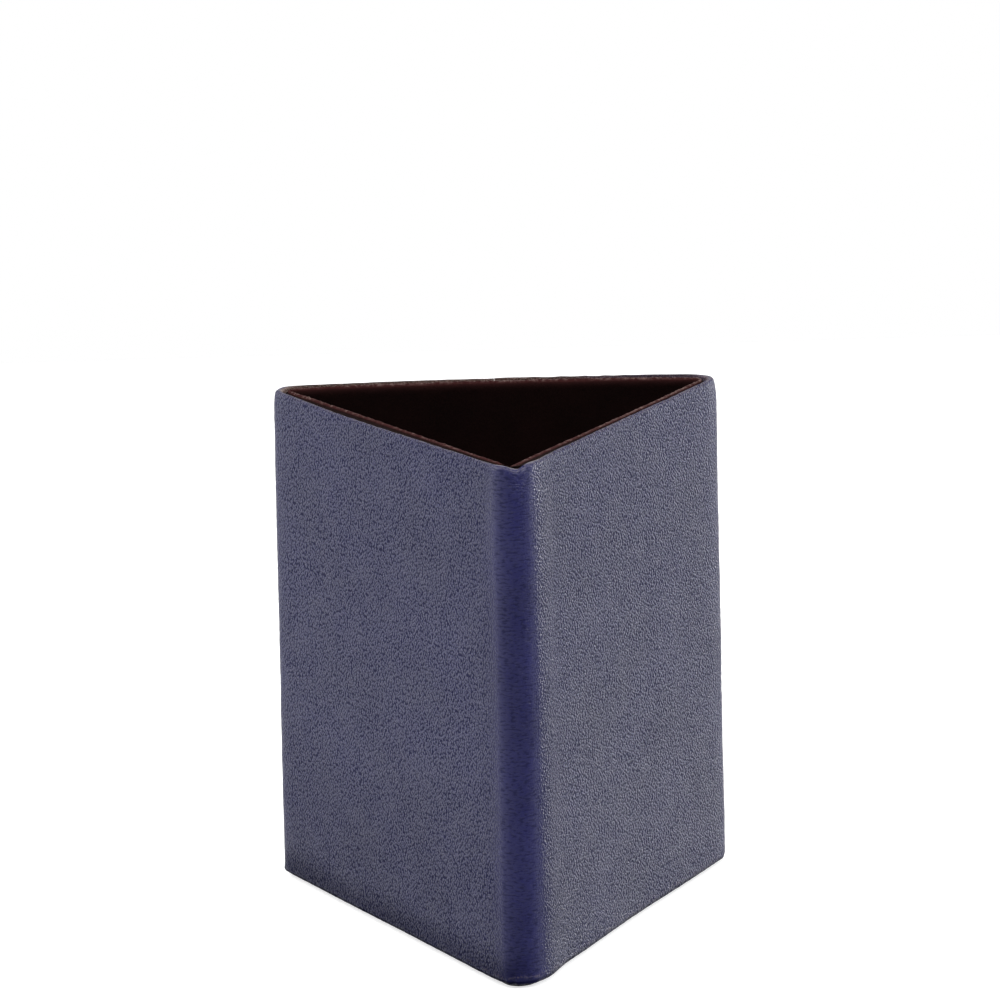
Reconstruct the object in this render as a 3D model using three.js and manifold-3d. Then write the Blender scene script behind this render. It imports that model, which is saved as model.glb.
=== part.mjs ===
// A triangular pen cup: three stiff boards around a base board, wrapped outside in one sheet of
// leatherette and lined inside with suede. Pieces are built upright, then all leaned in together.
//
// Millimetres, +Z up. The cup stands on the plane z = 0. One rounded corner points to -Y and the
// wall opposite it faces +Y. The origin is under the middle of the cup's bounding box.

import * as THREE from 'three';
import { mergeVertices } from 'three/addons/utils/BufferGeometryUtils.js';
import Module from 'manifold-3d';

// ---------------------------------------------------------------- driving dimensions

const HEIGHT = 90; // resting plane to the top of the rim
const WIDTH = 80; // across the two rear corners, at the foot
const CORNER_RADIUS = 3.8; // outside of each vertical corner
const BACK_BOW = 1.5; // how far the middle of the rear wall stands out
const TAPER = 0.02; // how much narrower the cup is at the rim than at the foot, as a fraction

const COVER_THICKNESS = 0.9; // leatherette
const BOARD_THICKNESS = 1.8; // wall boards
const LINING_THICKNESS = 0.5; // suede on the walls
const GLUE = 0.1; // between glued layers

const BASE_BOARD_THICKNESS = 2.0;
const FLOOR_LINING_THICKNESS = 0.8; // suede on card
const BASE_COVER_THICKNESS = 0.5; // sheet under the base
const BASE_COVER_INSET = 1.6; // from the outside of the walls
const BASE_COVER_CORNER_RADIUS = 3.0;

const COVER_INNER_RADIUS = 4.1; // inside of the cover's corners, which are thicker than its walls
const PANEL_INNER_RADIUS = 0.3; // where two flat panels meet inside, made as one small flat
const HEM_INNER_RADIUS = 2; // corners of the turned hem's free edge
const HEM_WIDTH = 8; // of the cover turned under the base board
const HEM_EDGE_RADIUS = 1.1; // where the cover turns under
const RIM_EDGE_RADIUS = 0.4; // outer edge of the cover at the rim
const RIM_STEP = 0.4; // lining's top below the cover's top
const MITRE_CLEARANCE = 0.1; // each panel to the mitre plane at a corner
const FIT_CLEARANCE = 0.15; // round the base board and the floor lining
const SEAM_WIDTH = 0.2; // where the two ends of the cover meet, at the back

const CORNER_STEPS = 12; // straight steps round one vertical corner
const ARC_STEPS = 16; // straight steps along the bowed rear wall, even for a true depth
const EDGE_STEPS = 4; // straight steps round a horizontal edge

// ---------------------------------------------------------------- worked out from them

// Distance from the vertical axis of the triangle to the outer face of a wall.
const IN_RADIUS = (WIDTH / 2 - CORNER_RADIUS) / Math.sqrt(3) + CORNER_RADIUS;
const FRONT_REACH = 2 * (IN_RADIUS - CORNER_RADIUS) + CORNER_RADIUS;
const BACK_REACH = IN_RADIUS + BACK_BOW;
const AXIS_Y = (FRONT_REACH - BACK_REACH) / 2;

// Upright faces. An inset is measured inwards from the outer face of a wall.
const BOARD_INSET = COVER_THICKNESS + GLUE;
const LINING_INSET = BOARD_INSET + BOARD_THICKNESS + GLUE;
const COVER_INSIDE = { inset: COVER_THICKNESS, radius: COVER_INNER_RADIUS };
const BOARD_OUTSIDE = { inset: BOARD_INSET, radius: COVER_INNER_RADIUS - GLUE };
const BOARD_INSIDE = { inset: BOARD_INSET + BOARD_THICKNESS, radius: PANEL_INNER_RADIUS };
const LINING_OUTSIDE = { inset: LINING_INSET, radius: PANEL_INNER_RADIUS };
const LINING_INSIDE = { inset: LINING_INSET + LINING_THICKNESS, radius: PANEL_INNER_RADIUS };
const HEM_INSIDE = { inset: HEM_WIDTH, radius: HEM_INNER_RADIUS };
const BASE_COVER_OUTSIDE = { inset: BASE_COVER_INSET, radius: BASE_COVER_CORNER_RADIUS };

// Levels, from the resting plane up.
const HEM_BOTTOM = BASE_COVER_THICKNESS + GLUE;
const HEM_TOP = HEM_BOTTOM + COVER_THICKNESS;
const BOARD_BOTTOM = HEM_TOP + GLUE;
const BASE_BOARD_TOP = BOARD_BOTTOM + BASE_BOARD_THICKNESS;
const LINING_BOTTOM = BASE_BOARD_TOP + GLUE;
const LINING_TOP = HEIGHT - RIM_STEP;
const LINING_FOLD_BOTTOM = LINING_TOP - LINING_THICKNESS;
const BOARD_TOP = LINING_FOLD_BOTTOM - GLUE;

// The rear wall is a shallow arc, tangent to both rear corners.
const REAR_CORNER_X = WIDTH / 2 - CORNER_RADIUS;
const ARC_RADIUS = REAR_CORNER_X / Math.sin(2 * Math.atan(BACK_BOW / REAR_CORNER_X)) + CORNER_RADIUS;
const ARC_CENTRE_Y = BACK_REACH - ARC_RADIUS;

// Directions that the walls face, anticlockwise from +X.
const LEFT_NORMAL = THREE.MathUtils.degToRad(210);
const RIGHT_NORMAL = THREE.MathUtils.degToRad(-30);
const BACK_NORMAL = THREE.MathUtils.degToRad(90);
const WALLS = { left: LEFT_NORMAL, right: RIGHT_NORMAL, back: BACK_NORMAL };

const SURFACES = {
  leatherette: { color: 0x2c2d4c, roughness: 0.55, metalness: 0 },
  board: { color: 0x8f7355, roughness: 0.9, metalness: 0 },
  lining: { color: 0x3a1b15, roughness: 0.95, metalness: 0 },
  base_sheet: { color: 0x15151a, roughness: 0.9, metalness: 0 },
};

// ---------------------------------------------------------------- outline

// Points of an arc, both ends included.
function arc(centre, radius, startAngle, endAngle, steps) {
  const points = [];
  for (let step = 0; step <= steps; step += 1) {
    const angle = startAngle + (endAngle - startAngle) * (step / steps);
    const reach = new THREE.Vector2(radius * Math.cos(angle), radius * Math.sin(angle));
    points.push(reach.add(centre));
  }
  return points;
}

// Centre of the rear right corner: on a line along the right wall, and tangent to the rear arc.
function rearCornerCentre(inset, radius) {
  const normal = new THREE.Vector2(Math.cos(RIGHT_NORMAL), Math.sin(RIGHT_NORMAL));
  const along = new THREE.Vector2(-normal.y, normal.x);
  const foot = normal.clone().multiplyScalar(IN_RADIUS - inset - radius);
  const fromArcCentre = foot.clone().sub(new THREE.Vector2(0, ARC_CENTRE_Y));
  const reach = ARC_RADIUS - inset - radius;
  const half = along.dot(fromArcCentre);
  const travel = Math.sqrt(half ** 2 - fromArcCentre.lengthSq() + reach ** 2) - half;
  return foot.add(along.multiplyScalar(travel));
}

// Points round the cup along one upright face, anticlockwise from above. All outlines with round
// corners have the same count, so that they can be joined point to point.
function outline({ inset, radius }) {
  const cornerSteps = radius > PANEL_INNER_RADIUS ? CORNER_STEPS : 1;
  const front = new THREE.Vector2(0, -2 * (IN_RADIUS - inset - radius));
  const rearRight = rearCornerCentre(inset, radius);
  const rearLeft = new THREE.Vector2(-rearRight.x, rearRight.y);
  const arcCentre = new THREE.Vector2(0, ARC_CENTRE_Y);
  const arcHalf = Math.asin(rearRight.x / (ARC_RADIUS - inset - radius));
  const arcStart = Math.PI / 2 - arcHalf;
  const arcEnd = Math.PI / 2 + arcHalf;
  const points = [
    ...arc(front, radius, LEFT_NORMAL, RIGHT_NORMAL + 2 * Math.PI, cornerSteps),
    ...arc(rearRight, radius, RIGHT_NORMAL, arcStart, cornerSteps),
    ...arc(arcCentre, ARC_RADIUS - inset, arcStart, arcEnd, ARC_STEPS).slice(1, -1),
    ...arc(rearLeft, radius, arcEnd, LEFT_NORMAL, cornerSteps),
  ];
  return points.map((point) => new THREE.Vector2(point.x, point.y + AXIS_Y));
}

// ---------------------------------------------------------------- solids

// A ring round the cup whose cross-section is a closed list of { inset, radius, z }, up the outside
// first.
function ring(section) {
  const loops = section.map(outline);
  const count = loops[0].length;
  const positions = [];
  loops.forEach((loop, level) => {
    loop.forEach((point) => positions.push(point.x, point.y, section[level].z));
  });
  const index = [];
  for (let level = 0; level < loops.length; level += 1) {
    const above = (level + 1) % loops.length;
    for (let side = 0; side < count; side += 1) {
      const next = (side + 1) % count;
      const a = level * count + side;
      const b = level * count + next;
      const c = above * count + next;
      const d = above * count + side;
      index.push(a, b, c, a, c, d);
    }
  }
  const geometry = new THREE.BufferGeometry();
  geometry.setAttribute('position', new THREE.Float32BufferAttribute(positions, 3));
  geometry.setIndex(index);
  geometry.computeVertexNormals();
  return geometry;
}

// An upright prism from one level to another, inside one face and, if given, outside another.
function prism(bottom, top, outerFace, innerFace) {
  const shape = new THREE.Shape(outline(outerFace));
  if (innerFace) {
    shape.holes.push(new THREE.Path(outline(innerFace)));
  }
  const geometry = new THREE.ExtrudeGeometry(shape, { depth: top - bottom, bevelEnabled: false });
  geometry.translate(0, 0, bottom);
  return geometry;
}

// The third of the space that belongs to one wall, between the mitre planes at its two corners.
function wallSector(middle) {
  const half = THREE.MathUtils.degToRad(60);
  const start = MITRE_CLEARANCE / Math.sin(half);
  const apex = new THREE.Vector2(start * Math.cos(middle), start * Math.sin(middle) + AXIS_Y);
  const corners = [-half, half].map((turn) => {
    const leg = new THREE.Vector2(Math.cos(middle + turn), Math.sin(middle + turn));
    return leg.multiplyScalar(2 * WIDTH).add(apex);
  });
  const shape = new THREE.Shape([apex, ...corners]);
  const geometry = new THREE.ExtrudeGeometry(shape, { depth: 2 * HEIGHT, bevelEnabled: false });
  geometry.translate(0, 0, -HEIGHT / 2);
  return geometry;
}

// ---------------------------------------------------------------- cuts

const wasm = await Module();
wasm.setup();

function solidOf(geometry) {
  const bare = geometry.clone();
  bare.deleteAttribute('normal');
  bare.deleteAttribute('uv');
  const welded = mergeVertices(bare);
  const vertProperties = new Float32Array(welded.attributes.position.array);
  const triVerts = new Uint32Array(welded.index.array);
  return new wasm.Manifold(new wasm.Mesh({ numProp: 3, vertProperties, triVerts }));
}

function geometryOf(solid) {
  const mesh = solid.getMesh();
  const geometry = new THREE.BufferGeometry();
  geometry.setAttribute('position', new THREE.Float32BufferAttribute(mesh.vertProperties, 3));
  geometry.setIndex(new THREE.Uint32BufferAttribute(mesh.triVerts, 1));
  geometry.computeVertexNormals();
  return geometry;
}

// ---------------------------------------------------------------- pieces

// Quarter round from one face of the cover's outside to the next, concentric with its corners.
function quarterRound(edgeRadius, centreZ, startDegrees) {
  const points = [];
  for (let step = 0; step <= EDGE_STEPS; step += 1) {
    const angle = THREE.MathUtils.degToRad(startDegrees + 90 * (step / EDGE_STEPS));
    const inset = edgeRadius * (1 - Math.cos(angle));
    points.push({ inset, radius: CORNER_RADIUS - inset, z: centreZ + edgeRadius * Math.sin(angle) });
  }
  return points;
}

// One sheet round all three walls, turned under the base board, its ends meeting at the back.
function outerCover() {
  const wrapped = ring([
    { ...HEM_INSIDE, z: HEM_BOTTOM },
    ...quarterRound(HEM_EDGE_RADIUS, HEM_BOTTOM + HEM_EDGE_RADIUS, -90),
    ...quarterRound(RIM_EDGE_RADIUS, HEIGHT - RIM_EDGE_RADIUS, 0),
    { ...COVER_INSIDE, z: HEIGHT },
    { ...COVER_INSIDE, z: HEM_TOP },
    { ...HEM_INSIDE, z: HEM_TOP },
  ]);
  const seam = new THREE.BoxGeometry(SEAM_WIDTH, 2 * HEM_WIDTH, 2 * HEIGHT);
  seam.translate(0, BACK_REACH + AXIS_Y - HEM_WIDTH / 2, HEIGHT / 2);
  return geometryOf(solidOf(wrapped).subtract(solidOf(seam)));
}

// A stiff panel, mitred at both ends.
function wallBoard(normal) {
  const boards = prism(BOARD_BOTTOM, BOARD_TOP, BOARD_OUTSIDE, BOARD_INSIDE);
  return geometryOf(solidOf(boards).intersect(solidOf(wallSector(normal))));
}

// A suede panel glued inside its board and folded over the board's top edge.
function wallLining(normal) {
  const panels = prism(LINING_BOTTOM, LINING_TOP, LINING_OUTSIDE, LINING_INSIDE);
  const folds = prism(LINING_FOLD_BOTTOM, LINING_TOP, BOARD_OUTSIDE, LINING_INSIDE);
  const linings = solidOf(panels).add(solidOf(folds));
  return geometryOf(linings.intersect(solidOf(wallSector(normal))));
}

// A face set back from another to leave room all round.
function withClearance(face) {
  return { ...face, inset: face.inset + FIT_CLEARANCE };
}

function baseBoard() {
  return prism(BOARD_BOTTOM, BASE_BOARD_TOP, withClearance(BOARD_INSIDE));
}

function floorLining() {
  const top = LINING_BOTTOM + FLOOR_LINING_THICKNESS;
  return prism(LINING_BOTTOM, top, withClearance(LINING_INSIDE));
}

function baseCover() {
  return prism(0, BASE_COVER_THICKNESS, BASE_COVER_OUTSIDE);
}

// ---------------------------------------------------------------- assembly

const group = new THREE.Group();

// Leans the walls in: every upright line of a piece closes in on the cup's axis towards the rim.
function leanIn(geometry) {
  const position = geometry.attributes.position;
  for (let i = 0; i < position.count; i += 1) {
    const scale = 1 - TAPER * (position.getZ(i) / HEIGHT);
    const y = AXIS_Y + (position.getY(i) - AXIS_Y) * scale;
    position.setXYZ(i, position.getX(i) * scale, y, position.getZ(i));
  }
  geometry.computeVertexNormals();
  return geometry;
}

function addPiece(name, geometry, surface) {
  const mesh = new THREE.Mesh(leanIn(geometry), new THREE.MeshStandardMaterial(SURFACES[surface]));
  mesh.name = name;
  group.add(mesh);
}

addPiece('outer_cover', outerCover(), 'leatherette');
addPiece('base_board', baseBoard(), 'board');
addPiece('floor_lining', floorLining(), 'lining');
addPiece('base_cover', baseCover(), 'base_sheet');
for (const [wall, normal] of Object.entries(WALLS)) {
  addPiece(`${wall}_wall_board`, wallBoard(normal), 'board');
  addPiece(`${wall}_wall_lining`, wallLining(normal), 'lining');
}

export default group;
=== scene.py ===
import math

import bpy
import numpy as np
from mathutils import Matrix, Vector


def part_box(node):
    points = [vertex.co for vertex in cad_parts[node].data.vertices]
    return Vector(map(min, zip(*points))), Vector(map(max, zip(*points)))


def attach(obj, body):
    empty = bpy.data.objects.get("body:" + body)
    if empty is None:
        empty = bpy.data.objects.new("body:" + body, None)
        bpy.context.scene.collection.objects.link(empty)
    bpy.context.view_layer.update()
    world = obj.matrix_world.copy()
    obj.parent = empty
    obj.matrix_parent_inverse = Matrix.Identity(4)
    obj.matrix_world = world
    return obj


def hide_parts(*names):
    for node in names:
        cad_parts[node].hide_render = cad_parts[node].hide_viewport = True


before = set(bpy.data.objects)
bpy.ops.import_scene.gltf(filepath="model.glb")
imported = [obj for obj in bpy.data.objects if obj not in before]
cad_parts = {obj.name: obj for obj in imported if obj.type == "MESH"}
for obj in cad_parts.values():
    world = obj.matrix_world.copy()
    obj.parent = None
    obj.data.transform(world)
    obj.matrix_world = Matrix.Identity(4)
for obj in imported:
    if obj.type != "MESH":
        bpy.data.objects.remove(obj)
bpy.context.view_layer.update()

# Looks of a triangular pen cup: a leatherette wrap over stiff boards, lined with suede.
#
# Pieces are worked out in millimetres as if the walls stood upright, then leaned in together, as the
# CAD walls are. An inset is measured inwards from the outer face of a wall, and a wrap is the
# distance round the cup from the seam in the middle of the rear wall, anticlockwise from above.

MM = 0.001

# ---------------------------------------------------------------- sizes that the frame doesn't hold

TAPER = 0.02
CORNER_RADIUS = 3.8
COVER_THICKNESS = 0.9
BOARD_THICKNESS = 1.8
LINING_THICKNESS = 0.5
GLUE = 0.1
COVER_INNER_RADIUS = 4.1
PANEL_INNER_RADIUS = 0.3
HEM_WIDTH = 8
HEM_INNER_RADIUS = 2
HEM_EDGE_RADIUS = 1.1
BASE_COVER_INSET = 1.6
BASE_COVER_CORNER_RADIUS = 3.0
FIT_CLEARANCE = 0.15
MITRE_CLEARANCE = 0.08
SEAM_WIDTH = 0.06

LIP_INSET = 0.94  # inner edge of the cover at the very rim
LIP_RADIUS = 4.06
FOLD_INSET = 1.3  # outer edge of the lining's fold, a dark groove away from the lip
FOLD_RADIUS = 3.7

# ---------------------------------------------------------------- levels and outline, from the frame


def bottom_of(node):
    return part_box(node)[0].z / MM


def top_of(node):
    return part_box(node)[1].z / MM


def lean(z):
    """How much narrower the cup is at a height, as a factor."""
    return 1 - TAPER * z / HEIGHT


HEIGHT = top_of("outer_cover")
HEM_BOTTOM = bottom_of("outer_cover")
HEM_TOP = HEM_BOTTOM + COVER_THICKNESS
BOARD_TOP = top_of("left_wall_board")
LINING_BOTTOM = bottom_of("left_wall_lining")
LINING_TOP = top_of("left_wall_lining")
FLOOR_BOTTOM = bottom_of("floor_lining")
FLOOR_TOP = top_of("floor_lining")
BASE_COVER_TOP = top_of("base_cover")

FOOT_LEAN = lean(HEM_BOTTOM + HEM_EDGE_RADIUS)
cover_low, cover_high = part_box("outer_cover")
WIDTH = (cover_high.x - cover_low.x) / MM / FOOT_LEAN
DEPTH = (cover_high.y - cover_low.y) / MM / FOOT_LEAN
IN_RADIUS = (WIDTH / 2 - CORNER_RADIUS) / math.sqrt(3) + CORNER_RADIUS
FRONT_REACH = 2 * (IN_RADIUS - CORNER_RADIUS) + CORNER_RADIUS
BACK_REACH = DEPTH - FRONT_REACH
BACK_BOW = BACK_REACH - IN_RADIUS
AXIS_Y = (FRONT_REACH - BACK_REACH) / 2

REAR_CORNER_X = WIDTH / 2 - CORNER_RADIUS
ARC_RADIUS = REAR_CORNER_X / math.sin(2 * math.atan(BACK_BOW / REAR_CORNER_X)) + CORNER_RADIUS
ARC_CENTRE_Y = BACK_REACH - ARC_RADIUS
RIGHT_NORMAL = math.radians(-30)
LEFT_NORMAL = math.radians(210)

CORNER_STEPS = 24
WALL_STEPS = 120
REAR_HALF_STEPS = 60


def rear_corner_centre(inset, radius):
    """Centre of the rear right corner: along the right wall, and tangent to the bowed rear wall."""
    normal = np.array([math.cos(RIGHT_NORMAL), math.sin(RIGHT_NORMAL)])
    along = np.array([-normal[1], normal[0]])
    foot = normal * (IN_RADIUS - inset - radius)
    from_arc_centre = foot - np.array([0, ARC_CENTRE_Y])
    reach = ARC_RADIUS - inset - radius
    half = along @ from_arc_centre
    travel = math.sqrt(half**2 - from_arc_centre @ from_arc_centre + reach**2) - half
    return foot + along * travel


def arc(centre, radius, start, end, shares):
    angle = start + (end - start) * shares
    return np.stack([centre[0] + radius * np.cos(angle), centre[1] + radius * np.sin(angle)], 1)


def line(start, end, shares):
    return start + (end - start) * shares[:, None]


def outline(inset, radius, seam_columns=()):
    """Points once round the cup from the seam, anticlockwise from above, both ends included.

    Outlines have the same count whatever the inset and radius, so they join point to point.
    seam_columns are extra points close to the seam, in millimetres from it.
    """
    corner = np.linspace(0, 1, CORNER_STEPS + 1)
    wall = np.linspace(0, 1, WALL_STEPS + 1)[1:-1]
    rear_right = rear_corner_centre(inset, radius)
    rear_left = rear_right * np.array([-1, 1])
    front = np.array([0, -2 * (IN_RADIUS - inset - radius)])
    arc_centre = np.array([0, ARC_CENTRE_Y])
    arc_radius = ARC_RADIUS - inset
    arc_half = math.asin(rear_right[0] / (arc_radius - radius))
    middle = math.pi / 2
    near_seam = np.array(seam_columns) / (arc_radius * arc_half)
    rear = np.concatenate([[SEAM_WIDTH / 2 / (arc_radius * arc_half)], near_seam,
                           np.arange(1, REAR_HALF_STEPS) / REAR_HALF_STEPS])
    corner_rear_left = arc(rear_left, radius, middle + arc_half, LEFT_NORMAL, corner)
    corner_front = arc(front, radius, LEFT_NORMAL, RIGHT_NORMAL + 2 * math.pi, corner)
    corner_rear_right = arc(rear_right, radius, RIGHT_NORMAL, middle - arc_half, corner)
    points = np.concatenate([
        arc(arc_centre, arc_radius, middle, middle + arc_half, rear),
        corner_rear_left,
        line(corner_rear_left[-1], corner_front[0], wall),
        corner_front,
        line(corner_front[-1], corner_rear_right[0], wall),
        corner_rear_right,
        arc(arc_centre, arc_radius, middle, middle - arc_half, rear)[::-1],
    ])
    return points + np.array([0, AXIS_Y])


# Columns of an outline without extra seam columns, counted from the seam.
MID_REAR_LEFT = REAR_HALF_STEPS + CORNER_STEPS // 2
MID_FRONT = REAR_HALF_STEPS + CORNER_STEPS + WALL_STEPS + CORNER_STEPS // 2
MID_REAR_RIGHT = MID_FRONT + CORNER_STEPS + WALL_STEPS


def outward(points):
    """Unit normals of an outline, pointing out of the cup."""
    along = np.gradient(points, axis=0)
    normal = np.stack([along[:, 1], -along[:, 0]], 1)
    return normal / np.linalg.norm(normal, axis=1)[:, None]


def distance_along(points):
    steps = np.linalg.norm(np.diff(points, axis=0), axis=1)
    return np.concatenate([[0], np.cumsum(steps)])


# ---------------------------------------------------------------- shaping helpers

SHARP_ANGLE = math.radians(50)  # edges bent more than this are shaded as sharp


def smooth(value, low, high):
    """0 below low, 1 above high and a smooth step between."""
    share = np.clip((value - low) / (high - low), 0, 1)
    return share * share * (3 - 2 * share)


def ripples(x, y, wavelength, seed, waves=28):
    """Smooth random unevenness of standard deviation 1, from waves in random directions."""
    draw = np.random.default_rng(seed)
    total = 0
    for _ in range(waves):
        turn, phase = draw.uniform(0, 2 * math.pi, 2)
        turns_per_mm = 2 * math.pi / (wavelength * draw.uniform(0.7, 1.5))
        total = total + np.cos(turns_per_mm * (x * math.cos(turn) + y * math.sin(turn)) + phase)
    return total / math.sqrt(waves / 2)


def skin(name, grid, uv, closed="rows", **marks):
    """A closed mesh from a grid of points, in millimetres, upright.

    closed says which way the grid closes on itself: "rows" for a strip whose cross-section is a loop,
    "columns" for rings from one middle to another. Its two open ends are capped. uv is in millimetres
    and marks are named values between 0 and 1, one for each point.
    """
    rows, columns = grid.shape[:2]
    point = grid.reshape(-1, 3).copy()
    factor = lean(point[:, 2])
    point[:, 0] *= factor
    point[:, 1] = AXIS_Y + (point[:, 1] - AXIS_Y) * factor
    index = np.arange(rows * columns).reshape(rows, columns)
    if closed == "rows":
        here, above = index, np.roll(index, -1, axis=0)
        quads = np.stack([here[:, :-1], here[:, 1:], above[:, 1:], above[:, :-1]], -1)
        caps = [index[:, 0].tolist(), index[::-1, -1].tolist()]
    else:
        here, beside = index, np.roll(index, -1, axis=1)
        quads = np.stack([here[:-1], beside[:-1], beside[1:], here[1:]], -1)
        caps = [index[0, ::-1].tolist(), index[-1].tolist()]
    faces = quads.reshape(-1, 4).tolist() + caps
    mesh = bpy.data.meshes.new(name)
    mesh.from_pydata((point * MM).tolist(), [], faces)
    layer = mesh.uv_layers.new(name="wrap")
    corner = np.empty(len(mesh.loops), np.int32)
    mesh.loops.foreach_get("vertex_index", corner)
    layer.data.foreach_set("uv", uv.reshape(-1, 2)[corner].astype(np.float32).ravel())
    for mark, value in marks.items():
        attribute = mesh.attributes.new(mark, "FLOAT", "POINT")
        at_points = np.broadcast_to(value, (rows, columns)).astype(np.float32)
        attribute.data.foreach_set("value", at_points.ravel())
    mesh.shade_smooth()
    mesh.set_sharp_from_angle(angle=SHARP_ANGLE)
    mesh.validate()
    made = bpy.data.objects.new(name, mesh)
    bpy.context.scene.collection.objects.link(made)
    return made


def add_piece(made, node, material):
    made.data.materials.append(material)
    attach(made, "root")
    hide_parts(node)


# ---------------------------------------------------------------- node helpers


class Surface:
    """A material built from nodes, with short ways to add and join them."""

    def __init__(self, name):
        self.material = bpy.data.materials.new(name)
        self.material.use_nodes = True
        self.tree = self.material.node_tree
        self.tree.nodes.clear()
        self.shader = self.add("BsdfPrincipled")
        output = self.add("OutputMaterial")
        self.tree.links.new(self.shader.outputs[0], output.inputs["Surface"])

    def put(self, node, socket, value):
        if isinstance(value, bpy.types.NodeSocket):
            self.tree.links.new(value, node.inputs[socket])
        else:
            node.inputs[socket].default_value = value

    def add(self, kind, settings=None, inputs=None):
        node = self.tree.nodes.new("ShaderNode" + kind)
        for name, value in (settings or {}).items():
            setattr(node, name, value)
        for socket, value in (inputs or {}).items():
            self.put(node, socket, value)
        return node

    def maths(self, operation, *values):
        node = self.add("Math", {"operation": operation}, dict(enumerate(values)))
        return node.outputs[0]

    def vector(self, operation, *values):
        node = self.add("VectorMath", {"operation": operation}, dict(enumerate(values)))
        return node.outputs[0]

    def scaled(self, value, low, high, to_low=0.0, to_high=1.0):
        limits = {"From Min": low, "From Max": high, "To Min": to_low, "To Max": to_high}
        node = self.add("MapRange", {"clamp": True}, {"Value": value, **limits})
        return node.outputs["Result"]

    def mix(self, share, first, second):
        """The first colour, and the second one instead by a share. Either may be a socket."""
        node = self.add("Mix", {"data_type": "RGBA"})
        share_socket, first_socket, second_socket, colour_output = 0, 6, 7, 2
        self.put(node, share_socket, share)
        for socket, value in ((first_socket, first), (second_socket, second)):
            self.put(node, socket, value if isinstance(value, bpy.types.NodeSocket) else (*value, 1))
        return node.outputs[colour_output]

    def mark(self, name):
        return self.add("Attribute", {"attribute_name": name}).outputs["Fac"]

    def wrap(self):
        return self.add("UVMap", {"uv_map": "wrap"}).outputs["UV"]

    def place(self):
        """Position in millimetres."""
        position = self.add("TexCoord").outputs["Object"]
        return self.vector("MULTIPLY", position, (1 / MM,) * 3)

    def noise(self, where, size, detail=2.0, roughness=0.5, flat=False):
        """Noise of about a size in millimetres."""
        settings = {"noise_dimensions": "2D" if flat else "3D"}
        inputs = {"Vector": where, "Scale": 1 / size, "Detail": detail, "Roughness": roughness}
        return self.add("TexNoise", settings, inputs)

    def bump(self, height, depth, below=None):
        """Bump of a height map between 0 and 1, over a depth in millimetres."""
        inputs = {"Height": height, "Distance": depth * MM, "Strength": 1.0}
        if below is not None:
            inputs["Normal"] = below
        return self.add("Bump", None, inputs).outputs["Normal"]

    def finish(self, **sockets):
        for socket, value in sockets.items():
            name = socket.replace("_", " ")
            if isinstance(value, tuple):
                value = (*value, 1)
            self.put(self.shader, name, value)
        return self.material


# ---------------------------------------------------------------- materials

BLACK = (0.0, 0.0, 0.0)
NAVY_DEEP = (0.0118, 0.0120, 0.077)
NAVY_LIGHT = (0.0150, 0.0153, 0.093)
NAVY_HOLLOW = (0.002, 0.003, 0.016)
NAVY_FOOT_SHADE = (0.001, 0.001, 0.005)
SCUFFED = (0.105, 0.090, 0.112)
RAW_EDGE_DARK = (0.050, 0.026, 0.022)
RAW_EDGE_LIGHT = (0.130, 0.080, 0.066)
PEBBLE_SIZE = 0.5  # all sizes and depths in the materials are in millimetres


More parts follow.
